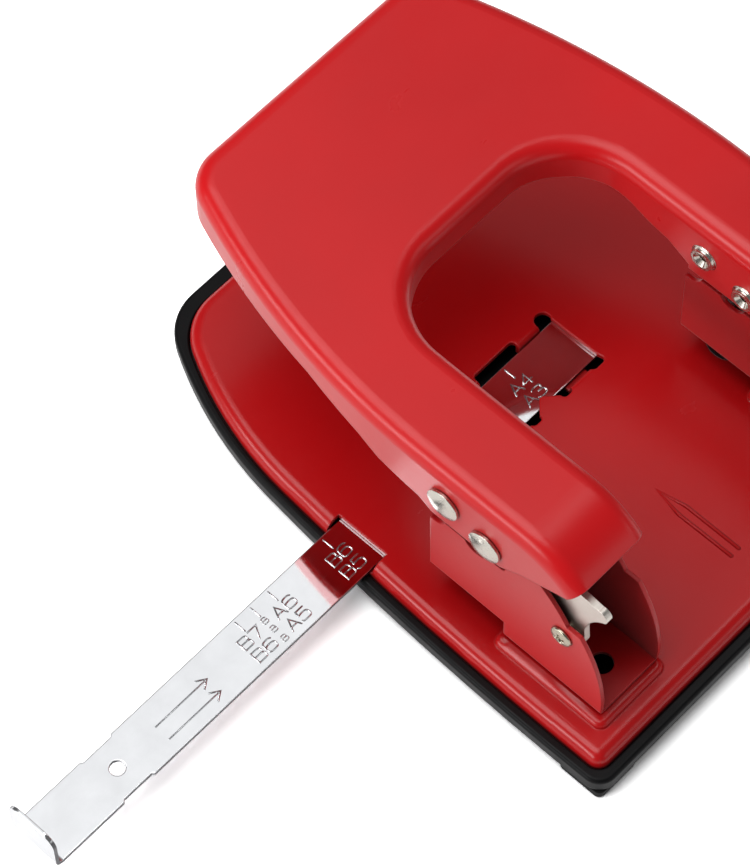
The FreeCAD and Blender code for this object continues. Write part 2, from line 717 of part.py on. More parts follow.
def make_foot(name, x, y):
    body = start_body(name)
    half = size.foot_side / 2
    add_slab(body, "XY", ZERO, size.cover_bottom, [rectangle(-half, half, -half, half)])
    soften(body, "Fillet", size.foot_corner, upright)
    soften(body, "Chamfer", size.cover_round / 2, lambda e: flat_at(e, "Z", ZERO))
    return place(body, x, y)


def make_feet():
    reach = size.foot_side / 2 + size.foot_inset
    rear_x, rear_y = size.cover_half - reach, size.cover_rear - reach
    feet = []
    for side, word in ((RIGHT, "Right"), (LEFT, "Left")):
        feet.append(make_foot("RearFoot" + word, side * rear_x, rear_y))
        feet.append(make_foot("FrontFoot" + word, side * size.front_foot_x, -size.front_foot_y))
    return group("feet", feet)


# Ruler

def make_ruler():
    """Flat strip on its middle line, with the stop bent up at the outer end."""
    body = start_body("ruler")
    half, thick = size.ruler_width / 2, size.ruler_thick
    outer, bend = size.ruler_stop + thick, size.stop_bend + thick
    top = thick + size.stop_height
    side = [(-size.ruler_tail, ZERO), (outer - bend, ZERO, bend, 1), (outer, bend), (outer, top),
            (size.ruler_stop, top), (size.ruler_stop, bend, size.stop_bend, -1),
            (size.ruler_stop - size.stop_bend, thick), (-size.ruler_tail, thick)]
    add_across(body, "XZ", size.ruler_width, [side])
    soften(body, "Fillet", size.stop_corner,
           lambda e: near(e.BoundBox.ZMin, top) and e.BoundBox.XLength > 0.5 and e.BoundBox.YLength < 0.01)
    soften(body, "Fillet", size.tail_corner, lambda e: upright(e) and near(e.BoundBox.XMin, -size.ruler_tail))
    cut_slab(body, "XY", ZERO, thick, rings=[((size.peg_hole_x, ZERO), size.peg_hole / 2)])
    reach = size.nick_length / 2
    left, right = size.peg_hole_x - reach, size.peg_hole_x + reach
    slant = size.nick_depth
    nick = [(left, half), (left + slant, half - size.nick_depth),
            (right - slant, half - size.nick_depth), (right, half)]
    other = [(u, -as_size(v)) for u, v in reversed(nick)]
    cut_slab(body, "XY", ZERO, thick, [nick, other])
    return place(body, ZERO, -size.ruler_mid, ruler_under)


# Posts

def post_side():
    """Side view of a post: y to the right, z up."""
    return [(size.post_front, web_under), (size.throat_stop, web_under), (size.throat_stop, boss_top),
            (size.floor_rear, boss_top), (size.floor_rear + 0.2, boss_top + 1.5, size.rear_round, 1),
            (size.shoulder_y + 0.7, size.shoulder_z), (size.pivot_y + 1.0, size.shoulder_z),
            (size.pivot_y + 0.6, size.shoulder_z + 0.8, size.slope_round, 1),
            (size.pivot_y - 7.3, size.shoulder_z + 9.6), (size.pivot_y - 10.3, size.post_high),
            (size.post_step_y, size.post_high), (size.post_step_y - 2.0, size.post_low),
            (size.post_front, size.post_low)]


def post_corners():
    return [(size.pivot_y - 10.3, size.post_high), (size.post_step_y, size.post_high), (size.post_step_y - 2.0, size.post_low),
            (size.post_front, size.post_low)]


def make_post(name, side):
    body = start_body(name)
    add_across(body, "YZ", post_half * 2, [post_side()])
    inside = [(size.post_front - 5.0, web_top), (step_y, web_top), (step_y, floor_top),
              (size.floor_rear + 5.0, floor_top), (size.floor_rear + 5.0, size.post_high + 5.0),
              (size.post_front - 5.0, size.post_high + 5.0)]

    def outer_bend(edge):
        box = edge.BoundBox
        lengthwise = flat_at(edge, "Z", web_under) or flat_at(edge, "Z", boss_top)
        step = upright(edge) and near(box.YMin, size.throat_stop)
        return box.XLength < 0.001 and (lengthwise or step)

    def corner(edge):
        return any(flat_at(edge, "Y", y) and flat_at(edge, "Z", z) for y, z in post_corners())

    soften(body, "Fillet", size.post_bend, outer_bend)
    soften(body, "Fillet", size.post_corner, corner)
    cut_across(body, "YZ", post_inside * 2, [inside])
    notch = size.spacer_outer / 2 + size.notch_play
    cut_across(body, "YZ", post_half * 3, rings=[
        (pressed(size.rivet1_y, size.rivet1_z), notch), (pressed(size.rivet2_y, size.rivet2_z), notch)])
    outer_wall = sorted((side * (post_inside - 1.0), side * (post_half + 1.0)), key=lambda x: x.number)
    cut_slab(body, "YZ", outer_wall[0], outer_wall[1],
             rings=[((size.pivot_y, size.pivot_z), size.sleeve_outer / 2)])
    rivet = size.base_rivet_shank / 2
    cut_slab(body, "XY", web_under - 1.0, web_top + 1.0,
             rings=[((ZERO, size.punch_y), size.guide_outer / 2)])
    cut_slab(body, "XY", boss_top - 1.0, floor_top + 1.0,
             rings=[((ZERO, size.table_hole_y), size.table_hole / 2)]
             + [((ZERO, y), rivet) for y in base_rivet_rows])
    return place(body, side * size.post_x)


# Turned pieces along Z

def make_die(name, side):
    body = start_body(name)
    bore = size.punch_bore / 2 + size.die_play
    outer, low = size.die_outer / 2, size.plate_top - size.die_height
    turn_profile(body, [(bore, size.plate_top), (bore, size.plate_top - size.sheet * 1.5),
                        (bore + 0.5, low), (outer, low), (outer, size.plate_top)])
    return place(body, side * size.post_x, size.punch_y)


def make_guide(name, side):
    body = start_body(name)
    bore, outer = size.punch_bore / 2 + size.fit, size.guide_outer / 2
    top = web_top + size.guide_height
    turn_profile(body, [(bore, web_under), (outer, web_under), (outer, top - 0.5), (outer - 0.5, top),
                        (bore, top)])
    return place(body, side * size.post_x, size.punch_y)


def make_punch(name, side):
    """Pin with a thick head; the cross pin goes through the head."""
    body = start_body(name)
    pin_radius, head = size.punch_bore / 2, size.head_outer / 2
    tip, top = web_under + size.punch_gap, size.cross_z + size.head_above
    turn_profile(body, [(ZERO, tip + 0.7), (pin_radius - 0.6, tip + 0.7), (pin_radius, tip),
                        (pin_radius, head_under), (head, head_under), (head, top - 0.6),
                        (head - 0.6, top), (ZERO, top)])
    cut_across(body, "YZ", size.head_outer * 2, rings=[((ZERO, size.cross_z), size.cross_pin / 2)])
    return place(body, side * size.post_x, size.punch_y)


def make_cross_pin(name, side):
    """Pin from the punch head out through the slot of the arm plate."""
    body = start_body(name)
    inner, outer = -size.head_outer / 2 - size.cross_inner, post_inside - size.cross_end
    radius, reach = size.cross_pin / 2, (outer - inner) / 2
    turn_profile(body, [(-reach, ZERO), (-reach, radius - 0.4), (-reach + 0.4, radius),
                        (reach - 0.4, radius), (reach, radius - 0.4), (reach, ZERO)], "H_Axis")
    return place(body, side * (size.post_x + (outer + inner) / 2), size.punch_y, size.cross_z)


def make_washer(name, side):
    body = start_body(name)
    bore, outer = size.punch_bore / 2 + size.fit, size.washer_outer / 2
    turn_profile(body, [(bore, washer_under), (outer, washer_under), (outer, head_under),
                        (bore, head_under)])
    return place(body, side * size.post_x, size.punch_y)


def make_base_rivet(name, x, y):
    body = start_body(name)
    shank, head = size.base_rivet_shank / 2, size.base_rivet_head / 2
    under = boss_top - size.sheet
    rise = size.base_rivet_rise
    dome = (head * head + rise * rise) / (rise * 2)
    turn_profile(body, [(ZERO, under - 0.9), (shank + 0.9, under - 0.9), (shank + 0.9, under),
                        (shank, under), (shank, floor_top), (head, floor_top, dome, 1),
                        (ZERO, floor_top + rise)])
    return place(body, x, y)


def make_base_rivets():
    rivets = []
    for side, word in ((RIGHT, "Right"), (LEFT, "Left")):
        for y, row in zip(base_rivet_rows, ("Front", "Rear")):
            rivets.append(make_base_rivet("BaseRivet" + word + row, side * size.post_x, y))
    return group("post_rivets", rivets)


# Pieces along the pivot and the rivets; they turn round X, outward is +X

def face_out(body, side, y, z):
    """Set a piece on its axis; the left one is turned half round."""
    place(body, side * size.post_x, y, z)
    if side is LEFT:
        body.Placement.Rotation = Rotation(Vector(0, 0, 1), 180)
    return body


def make_pivot_sleeve(name, side):
    """Flanged sleeve in the outer wall; the eye of the arm plate turns on it."""
    body = start_body(name)
    bore, outer, head = size.sleeve_bore / 2, size.sleeve_outer / 2, size.sleeve_head / 2
    seat = arm_inside - size.fit
    end = seat - size.sleeve_head_thick
    turn_profile(body, [(end, ZERO), (end, head - 0.4), (end + 0.4, head), (seat, head), (seat, outer),
                        (post_half, outer), (post_half, bore), (seat, bore), (seat, ZERO)], "H_Axis")
    return face_out(body, side, size.pivot_y, size.pivot_z)


def make_pivot_screw(name, side):
    body = start_body(name)
    shank, head, thick = size.sleeve_bore / 2 - size.fit, size.screw_head / 2, size.screw_head_thick
    start, end = arm_inside + 0.3, post_half + thick
    turn_profile(body, [(start, ZERO), (start, shank), (post_half, shank), (post_half, head),
                        (end - thick * 0.6, head, head * 0.45, 1), (end, head * 0.6), (end, ZERO)],
                 "H_Axis")
    return face_out(body, side, size.pivot_y, size.pivot_z)


def make_lever_rivet(name, side, y, z):
    """Thick domed head outside, hollow flared end inside."""
    body = start_body(name)
    shank, head, tail = size.rivet_shank / 2, size.rivet_head / 2, size.rivet_tail / 2
    out, flare = size.arm_half, size.rivet_tail_thick
    rim, rise = size.rivet_rim, size.rivet_rise
    dome = (head * head + rise * rise) / (rise * 2)
    hole = shank - 0.6
    turn_profile(body, [(-out + 2.0, ZERO), (-out + 2.0, hole), (-out - 0.2, hole),
                        (-out - flare, hole + 0.9), (-out - flare, tail - 0.7, 0.9, 1),
                        (-out, tail), (-out, shank), (out, shank), (out, head - 0.3),
                        (out + 0.3, head), (out + rim, head, dome, -1), (out + rim + rise, ZERO)],
                 "H_Axis")
    return face_out(body, side, y, z)


def make_lever_rivets(name, side):
    return group(name, [make_lever_rivet(name + "Front", side, size.rivet1_y, size.rivet1_z),
                        make_lever_rivet(name + "Rear", side, size.rivet2_y, size.rivet2_z)])


def make_rivet_sleeves(name, side):
    """Two tubes on each rivet, one on each side of the arm plate."""
    body = start_body(name, many=True)
    bore, outer = size.rivet_shank / 2 + size.fit, size.spacer_outer / 2
    flange = size.arm_half - size.sheet
    centres = [(size.rivet1_y, size.rivet1_z), (size.rivet2_y, size.rivet2_z)]
    rings = [(centre, outer) for centre in centres] + [(centre, bore) for centre in centres]
    for low, high in ((arm_outside, flange), (-flange, arm_inside)):
        ends = (low, high) if side is RIGHT else (-high, -low)
        add_slab(body, "YZ", ends[0], ends[1], rings=rings)
    return place(body, side * size.post_x)


# Arm plates

def arm_loop(slope, square):
    """Outline of an arm plate: nose with the slot, heel, eye on the pivot, tail, rivets."""
    y, z, end = size.pivot_y, size.pivot_z, size.tail_round
    below = size.under_slot * square
    front = size.punch_y - size.nose_radius * 0.75
    neck = size.pivot_y - size.eye_radius * 1.42
    heel_y = step_y + size.heel_play
    tail_rise = (size.rivet2_z + size.rivet_margin - size.tail_z) / (size.tail_y - size.rivet2_y)
    rise = (size.rivet1_z - size.rivet2_z) / (size.rivet2_y - size.rivet1_y)
    length = (Size(1) + rise * rise).root()
    over_y, over_z = size.rivet_margin * rise / length, size.rivet_margin / length
    return [(front, size.cross_z + slope * (size.punch_y - front) - below),
            (neck, z + slope * (y - neck) - below), (neck - 0.3, z - 7.2),
            (heel_y, web_top + 1.3), (heel_y, web_top - 0.7), (y - 9.3, web_top - 0.9),
            (y - 1.1, floor_top + 3.4), (y - 0.9, z - 15.5), (y, z - 9.7), (y + 0.7, z - 6.2),
            (y + size.eye_radius * 0.4, z - size.eye_radius * 0.9165, size.eye_radius, 1),
            (y + size.eye_radius, z), (y + size.eye_radius - 0.3, z + 4.8, size.tail_hollow, -1),
            (size.tail_y + end * 0.43, size.tail_z - end * 0.9, end, 1),
            (size.tail_y - end * 0.2, size.tail_z + end * 0.98),
            (size.rivet2_y + 8.0, size.rivet2_z + size.rivet_margin - tail_rise * 2.0),
            (size.rivet2_y + over_y, size.rivet2_z + over_z),
            (size.rivet1_y + over_y, size.rivet1_z + over_z, size.rivet_margin, 1),
            (size.rivet1_y - 4.9, size.rivet1_z - 0.995), (front - 1.2, size.cross_z + 1.5)]


def make_arm(name, side):
    """Flat plate between the punch head and the post's outer wall, riveted under the lever."""
    body = start_body(name)
    slope = (size.cross_z - size.pivot_z) / (size.pivot_y - size.punch_y)
    square = (Size(1) + slope * slope).root()
    add_across(body, "YZ", size.arm_thick, [arm_loop(slope, square)])
    hole = size.rivet_shank / 2 + size.fit
    cut_across(body, "YZ", size.arm_thick * 2, rings=[
        ((size.rivet1_y, size.rivet1_z), hole), ((size.rivet2_y, size.rivet2_z), hole),
        ((size.pivot_y, size.pivot_z), size.sleeve_outer / 2 + size.fit)])
    reach, radius = size.slot_play / 2, size.cross_pin / 2 + size.fit
    along_y, along_z = reach / square, reach * slope / square
    off_y, off_z = radius * slope / square, radius / square
    middle_y, middle_z = size.punch_y, size.cross_z
    cut_across(body, "YZ", size.arm_thick * 2, [[
        (middle_y - along_y - off_y, middle_z + along_z - off_z),
        (middle_y + along_y - off_y, middle_z - along_z - off_z, radius, 1),
        (middle_y + along_y + off_y, middle_z - along_z + off_z),
        (middle_y - along_y + off_y, middle_z + along_z + off_z, radius, 1)]])
    return place(body, side * (size.post_x + size.arm_out))


# Lever

def crown_loop(depth):
    """Everything above the lever's top skin, moved down by the depth; y to the right, z up."""
    front = -size.lever_front - 8.0
    top = size.lever_top - depth
    radius, heel = size.crown_radius + depth, size.heel_radius - depth
    run = size.crown_start - front
    rise = radius - (radius * radius - run * run).root()
    return [(size.crown_start, top), (size.heel_start, top, heel, -1),
            (size.heel_start + heel, top - heel), (size.heel_start + heel + 9.0, top - heel),
            (size.heel_start + heel + 9.0, top + 15.0), (front, top + 15.0),
            (front, top + rise, radius, 1)]


def opening_loop(margin):
    half = size.post_x - size.arm_half + margin
    front = -size.opening_front - margin
    radius = size.opening_corner + margin
    rear = size.lever_rear + 10.0
    return [(-half, rear), (-half, front + radius, radius, 1), (-half + radius, front),
            (half - radius, front, radius, 1), (half, front + radius), (half, rear)]


def make_lever():
    body = start_body("lever")
    low, high = size.lobe_bottom - 2.0, size.lever_top + 10.0
    extrude(body, "Pad", lever_outline(start_sketch(body, "XY", low)), high - low)
    cut_slab(body, "XY", low - 1.0, high + 1.0, [opening_loop(ZERO)])
    cut_across(body, "YZ", size.post_x * 4, [crown_loop(ZERO)])
    seams = [size.crown_start, size.heel_start, size.lever_rear]

    def upper_edge(edge):
        box = edge.BoundBox
        if upright(edge) or box.ZMax < size.lever_top.number - size.heel_radius.number * 0.6:
            return False
        return not any(flat_at(edge, "Y", seam) for seam in seams)

    soften(body, "Fillet", size.lever_round, upper_edge)
    doc.recompute()
    solid = body.Tip.Shape
    open_faces = ["Face%d" % number for number, face in enumerate(solid.Faces, 1)
                  if flat_at(face, "Z", low) or flat_at(face, "Y", size.lever_rear)]
    base = body.Tip
    shell = body.newObject("PartDesign::Thickness", "Thickness")
    shell.Base = (base, open_faces)
    shell.setExpression("Value", size.sheet.formula)
    shell.Reversed = True
    shell.Mode = 0
    shell.Join = 1
    doc.recompute()
    cut_across(body, "YZ", size.post_x * 4, [skirt_loop()])
    cut_across(body, "YZ", (size.post_x - size.arm_half / 3) * 2, [inner_skirt_loop()])
    cut_across(body, "YZ", size.post_x * 4, rings=[
        ((size.rivet1_y, size.rivet1_z), size.rivet_shank / 2),
        ((size.rivet2_y, size.rivet2_z), size.rivet_shank / 2)])
    return body


def skirt_loop():
    """Everything below the lower edge of the lever's flanges."""
    front, rear, low = -size.lever_front - 8.0, size.lever_rear + 8.0, size.lobe_bottom - 8.0
    return [(front, low), (rear, low), (rear, size.lever_top), (size.lever_rear, size.lever_top),
            (size.lever_rear, size.skirt_rear + 3.0), (size.lever_rear - 2.6, size.skirt_rear),
            (size.lever_rear - 6.5, size.skirt_rear - 1.7), (size.lever_rear - 15.0, size.skirt_mid + 0.3),
            (size.lobe_rear, size.lobe_bottom), (size.lobe_front, size.lobe_bottom),
            (size.lobe_front - 3.4, size.skirt_mid - 1.2), (size.lobe_front - 15.0, size.skirt_mid + 0.4),
            (-4.0, size.skirt_front - 3.7), (-size.skirt_bend_y, size.skirt_front),
            (front, size.skirt_front)]


def inner_skirt_loop():
    front, low = -size.lever_front + 8.0, size.lobe_bottom - 8.0
    return [(front, low), (size.lobe_front, low), (size.lobe_front, size.skirt_mid - 2.0),
            (11.0, size.inner_skirt - 4.2), (6.0, size.inner_skirt - 3.2), (0.0, size.inner_skirt - 1.0),
            (-5.7, size.inner_skirt), (front, size.inner_skirt)]


# Return springs

def helix_point(turns, bottom, rise):
    angle = turns * 2 * math.pi
    radius = size.spring_mean.number / 2
    return Vector(radius * math.cos(angle), radius * math.sin(angle), bottom + rise * turns)


def helix_direction(turns, rise):
    angle = turns * 2 * math.pi
    around = size.spring_mean.number * math.pi
    return Vector(-around * math.sin(angle), around * math.cos(angle), rise).normalize()


def two_arcs(first, leaving, last, arriving):
    """Two arcs that join two points and keep both directions."""
    gap, both_ways = last - first, leaving + arriving
    spread = 2 * (1 - leaving.dot(arriving))
    mixed = gap.dot(both_ways)
    reach = (-mixed + math.sqrt(mixed ** 2 + spread * gap.dot(gap))) / spread
    middle = (first + last + (leaving - arriving) * reach) / 2
    arcs = []
    for start, corner, end in ((first, first + leaving * reach, middle),
                               (middle, last - arriving * reach, last)):
        chord_middle = (start + end) / 2
        half_turn = (corner - start).getAngle(end - corner) / 2
        share = math.cos(half_turn) / (1 + math.cos(half_turn))
        arcs.append(Part.Arc(start, chord_middle + (corner - chord_middle) * share, end).toShape())
    return arcs


def make_spring(name, side):
    wire = size.spring_wire.number
    bottom = web_top.number + wire / 2 + size.spring_seat.number
    top = washer_under.number - wire / 2 - size.spring_seat.number
    turns = size.spring_turns.number
    rise = (top - bottom) / turns
    steps = round(turns * 4)
    marks = [turns * index / steps for index in range(steps + 1)]
    edges = []
    for start, end in zip(marks, marks[1:]):
        edges += two_arcs(helix_point(start, bottom, rise), helix_direction(start, rise),
                          helix_point(end, bottom, rise), helix_direction(end, rise))
    path = Part.Wire(edges)
    section = Part.Wire(Part.makeCircle(wire / 2, helix_point(0, bottom, rise), helix_direction(0, rise)))
    node = doc.addObject("Part::Feature", name)
    node.Label = name
    node.Shape = path.makePipeShell([section], True, False)
    points = path.discretize(Number=400)
    apart = round(400 / turns * 0.6)
    least = min((a - b).Length for i, a in enumerate(points) for b in points[i + apart:]) - wire
    print("%s: least gap between turns %.2f mm" % (name, least))
    return place(node, side * size.post_x, size.punch_y)


# Assembly

class Side:
    """Sign of one side; times a size it gives the place on that side."""

    def __init__(self, sign):
        self.sign = sign

    def __mul__(self, other):
        return other if self.sign > 0 else -other


RIGHT, LEFT = Side(1), Side(-1)


def make_all():
    nodes = [make_base_plate(), make_cover(), make_feet(), make_ruler(), make_lever(),
             make_base_rivets()]
    makers = (("post", make_post), ("die", make_die), ("guide", make_guide), ("punch", make_punch),
              ("cross_pin", make_cross_pin), ("spring_washer", make_washer), ("spring", make_spring),
              ("arm", make_arm), ("pivot_sleeve", make_pivot_sleeve), ("pivot_screw", make_pivot_screw),
              ("lever_rivets", make_lever_rivets), ("rivet_sleeves", make_rivet_sleeves))
    for word, make in makers:
        nodes.append(make("right_" + word, RIGHT))
        nodes.append(make("left_" + word, LEFT))
    return nodes


def check(nodes):
    for item in doc.Objects:
        if "Invalid" in item.State or "Error" in item.State:
            raise RuntimeError("%s failed: %s" % (item.Label, item.State))
    for node in nodes:
        if node.Shape.isNull() or not node.Shape.isValid():
            raise RuntimeError("%s has no valid shape" % node.Label)


def save(nodes):
    os.makedirs("parts", exist_ok=True)
    for node in nodes:
        node.Shape.exportStep("parts/%s.step" % node.Label)
        print("%s: %d solid, %.1f mm3" % (node.Label, len(node.Shape.Solids), node.Shape.Volume))


nodes = make_all()
doc.recompute()
check(nodes)
save(nodes)
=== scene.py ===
import math
import bpy
import bmesh
from mathutils import Matrix, Vector


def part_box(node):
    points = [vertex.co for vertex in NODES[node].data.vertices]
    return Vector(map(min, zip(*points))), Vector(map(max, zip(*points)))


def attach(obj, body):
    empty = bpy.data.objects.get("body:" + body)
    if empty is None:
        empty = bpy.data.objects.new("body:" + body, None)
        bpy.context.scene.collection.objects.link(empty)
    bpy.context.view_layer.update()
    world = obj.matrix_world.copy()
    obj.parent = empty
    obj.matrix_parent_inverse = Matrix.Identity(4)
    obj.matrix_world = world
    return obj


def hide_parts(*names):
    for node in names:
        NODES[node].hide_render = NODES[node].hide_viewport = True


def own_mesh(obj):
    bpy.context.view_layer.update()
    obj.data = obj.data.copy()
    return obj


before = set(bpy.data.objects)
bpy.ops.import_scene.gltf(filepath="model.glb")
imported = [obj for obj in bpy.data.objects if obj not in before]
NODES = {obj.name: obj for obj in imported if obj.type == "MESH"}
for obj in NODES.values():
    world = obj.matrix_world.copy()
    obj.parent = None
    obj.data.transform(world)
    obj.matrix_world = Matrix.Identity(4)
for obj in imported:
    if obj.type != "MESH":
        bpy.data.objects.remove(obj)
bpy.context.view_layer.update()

MM = 0.001


# Shader node helpers

# Inputs and output of a mix node for each kind of value
MIX_SOCKETS = {"FLOAT": (2, 3, 0), "VECTOR": (4, 5, 1), "RGBA": (6, 7, 2)}


def new_material(name):
    mat = bpy.data.materials.new(name)
    mat.use_nodes = True
    mat.node_tree.nodes.clear()
    out, shader = add_node(mat, "OutputMaterial"), add_node(mat, "BsdfPrincipled")
    link(mat, shader.outputs["BSDF"], out.inputs["Surface"])
    return mat, shader


def add_node(mat, kind, **settings):
    node = mat.node_tree.nodes.new("ShaderNode" + kind)
    for name, value in settings.items():
        setattr(node, name, value)
    return node


def link(mat, source, target):
    mat.node_tree.links.new(source, target)


def feed(mat, socket, value):
    """Set a number or a colour on the socket, or link another node's output to it."""
    if isinstance(value, (int, float)):
        socket.default_value = value
    elif isinstance(value, (tuple, list)):
        socket.default_value = (*value, 1)
    else:
        link(mat, value, socket)


def noise(mat, scale, detail=3.0, rough=0.5, squeeze=None):
    source = add_node(mat, "TexCoord").outputs["Object"]
    if squeeze:
        mapping = add_node(mat, "Mapping")
        mapping.inputs["Scale"].default_value = squeeze
        link(mat, source, mapping.inputs["Vector"])
        source = mapping.outputs["Vector"]
    node = add_node(mat, "TexNoise")
    for name, value in (("Scale", scale), ("Detail", detail), ("Roughness", rough), ("Vector", source)):
        feed(mat, node.inputs[name], value)
    return node.outputs["Fac"]


def ramp(mat, source, stops):
    """Two colours, each at its place on the scale of the source."""
    node = add_node(mat, "ValToRGB")
    for element, (at, colour) in zip(node.color_ramp.elements, stops):
        element.position = at
        element.color = (*colour, 1)
    link(mat, source, node.inputs["Fac"])
    return node.outputs["Color"]


def spread(mat, source, low, high, start=0.3, end=0.7):
    """Source from start to end becomes low to high."""
    node = add_node(mat, "MapRange")
    for name, value in (("From Min", start), ("From Max", end), ("To Min", low), ("To Max", high),
                        ("Value", source)):
        feed(mat, node.inputs[name], value)
    return node.outputs["Result"]


def mixed(mat, kind, factor, first, second):
    """Mix of two colours (RGBA), normals (VECTOR) or numbers (FLOAT)."""
    node = add_node(mat, "Mix", data_type=kind)
    first_socket, second_socket, result = MIX_SOCKETS[kind]
    for index, value in ((0, factor), (first_socket, first), (second_socket, second)):
        feed(mat, node.inputs[index], value)
    return node.outputs[result]


def reckon(mat, kind, first, second=0.0):
    """One step of arithmetic on sockets or numbers."""
    node = add_node(mat, "Math", operation=kind)
    for socket, value in zip(node.inputs, (first, second)):
        feed(mat, socket, value)
    return node.outputs[0]


def square(mat, value):
    return reckon(mat, "MULTIPLY", value, value)


def dot(mat, first, second):
    node = add_node(mat, "VectorMath", operation="DOT_PRODUCT")
    link(mat, first, node.inputs[0])
    link(mat, second, node.inputs[1])
    return node.outputs["Value"]


def surface(mat, name):
    """Position or normal of the shaded point."""
    return add_node(mat, "NewGeometry").outputs[name]


def place_parts(mat):
    """X, Y and Z of the shaded point."""
    parts = add_node(mat, "SeparateXYZ")
    link(mat, surface(mat, "Position"), parts.inputs[0])
    return parts.outputs


def joined(mat, *values):
    """Vector from three numbers or sockets."""
    node = add_node(mat, "CombineXYZ")
    for socket, value in zip(node.inputs, values):
        feed(mat, socket, value)
    return node.outputs[0]


def bump(mat, shader, source, height, strength, before):
    """Relief on top of the normal before; it becomes the shader's normal."""
    node = add_node(mat, "Bump")
    for name, value in (("Distance", height), ("Strength", strength), ("Height", source), ("Normal", before)):
        feed(mat, node.inputs[name], value)
    link(mat, node.outputs["Normal"], shader.inputs["Normal"])
    return node.outputs["Normal"]


def soft_edges(mat, radius, samples=6):
    """Normal that rounds every sharp edge a little, so that it catches the light."""
    node = add_node(mat, "Bevel", samples=samples)
    node.inputs["Radius"].default_value = radius
    return node.outputs["Normal"]


def edge_mask(mat, radius, low, high):
    """White on convex edges: where a rounded normal departs from the surface's own."""
    alike = dot(mat, soft_edges(mat, radius, samples=4), surface(mat, "Normal"))
    return spread(mat, alike, 1.0, 0.0, 1 - high, 1 - low)


def open_air(mat, reach):
    """White in the open, black deep between walls: where the enamel gets its painted shade."""
    node = add_node(mat, "AmbientOcclusion", samples=6)
    node.inputs["Distance"].default_value = reach
    return spread(mat, node.outputs["AO"], 0.0, 1.0, start=0.12, end=0.75)


# Normals of the base plate's side rims and of the flanks of its seats, in metres

TRAY_TOP = 0.010
TRAY_HALF = 0.0571
TRAY_WIDEST = 0.0562
TRAY_SIDE = 1.0
RIM_BEND = 0.003
RIM_CORE = 0.0024
RIM_FRONT, RIM_REAR = 0.006, 0.0676
SEAT_LOW = 0.0104
SEAT_INNER = 0.0492
SEAT_SHARE = 0.92
SEAT_NORMAL = (0.72, 0.694)
SEAT_FRONT_FADE = (0.0355, 0.0385)
SEAT_REAR_FADE = (0.0650, 0.0480)
SEAT_SIDE_FADE = (0.0516, 0.0510)


def rim_round(mat, normal):
    """Even normal along the side rims: a bend that follows the wide curve of the side."""
    x, y, z = place_parts(mat)
    slant = reckon(mat, "SUBTRACT", TRAY_WIDEST, y)
    sag = reckon(mat, "MULTIPLY", square(mat, slant), 0.5 / TRAY_SIDE)
    from_side = reckon(mat, "ADD", reckon(mat, "ABSOLUTE", x), sag)
    out = reckon(mat, "SUBTRACT", from_side, TRAY_HALF - RIM_BEND)
    up = reckon(mat, "SUBTRACT", z, TRAY_TOP - RIM_BEND)
    reach = reckon(mat, "SQRT", reckon(mat, "ADD", square(mat, out), square(mat, up)))
    mask = reckon(mat, "LESS_THAN", y, RIM_REAR)
    for value, limit in ((reach, RIM_CORE), (out, 0.0), (up, 0.0), (y, RIM_FRONT)):
        mask = reckon(mat, "MULTIPLY", mask, reckon(mat, "GREATER_THAN", value, limit))
    across = reckon(mat, "MULTIPLY", reckon(mat, "SIGN", x), out)
    along = reckon(mat, "MULTIPLY", reckon(mat, "MULTIPLY", slant, out), -1 / TRAY_SIDE)
    unit = add_node(mat, "VectorMath", operation="NORMALIZE")
    link(mat, joined(mat, across, along, up), unit.inputs[0])
    return mixed(mat, "VECTOR", mask, normal, unit.outputs[0])


def seat_slope(mat, normal):
    """Normal of the outer flank of each post's seat, which slopes from the post's wall to the tray."""
    x, y, z = place_parts(mat)
    across = reckon(mat, "ABSOLUTE", x)
    mask = reckon(mat, "MULTIPLY", reckon(mat, "GREATER_THAN", z, SEAT_LOW),
                  reckon(mat, "GREATER_THAN", across, SEAT_INNER))
    for value, fade in ((y, SEAT_FRONT_FADE), (y, SEAT_REAR_FADE), (across, SEAT_SIDE_FADE)):
        mask = reckon(mat, "MULTIPLY", mask, spread(mat, value, 0.0, SEAT_SHARE, *fade))
    outward = reckon(mat, "MULTIPLY", reckon(mat, "SIGN", x), SEAT_NORMAL[0])
    return mixed(mat, "VECTOR", mask, normal, joined(mat, outward, 0.0, SEAT_NORMAL[1]))


# Materials

def shaded(colour, share):
    """The colour times a share, at most white."""
    return [min(1, part * share) for part in colour]


def enamel(name, colour, crevice_shade=0.45, gloss=(0.18, 0.30), bloom=0.22, edge=0.0004, tray=False):
    """Gloss stoving enamel with painted shade deep between walls, a painted highlight that pales its convex
    edges toward pink, and slight orange peel.
    """
    mat, shader = new_material(name)
    clouds = noise(mat, scale=18, detail=4)
    cloudy = ramp(mat, clouds, [(0.32, shaded(colour, 0.93)), (0.68, shaded(colour, 1.05))])
    # Painted shade: deep between walls the enamel's colour is darkened, as if in shadow
    tint = mixed(mat, "RGBA", open_air(mat, reach=0.022), shaded(colour, crevice_shade), cloudy)
    # Painted highlight: the convex edges are mixed toward a pale pink, as if catching the light
    edge_highlight = spread(mat, edge_mask(mat, edge * 1.3, low=0.03, high=0.3), 0.0, 0.10, start=0.0, end=1.0)
    link(mat, mixed(mat, "RGBA", edge_highlight, tint, (0.75, 0.10, 0.10)), shader.inputs["Base Color"])
    smear = noise(mat, scale=45, detail=5, rough=0.6, squeeze=(1.0, 2.2, 1.0))
    link(mat, spread(mat, smear, *gloss, start=0.1, end=0.9), shader.inputs["Roughness"])
    normal = soft_edges(mat, edge)
    if tray:
        normal = seat_slope(mat, rim_round(mat, normal))
    peel = bump(mat, shader, noise(mat, scale=420, detail=2), 0.00005, 0.3, normal)
    bump(mat, shader, noise(mat, scale=2600, detail=2), 0.00001, 0.3, peel)
    shader.inputs["Specular IOR Level"].default_value = 0.38
    shader.inputs["Sheen Weight"].default_value = bloom
    shader.inputs["Sheen Roughness"].default_value = 0.35
    return mat


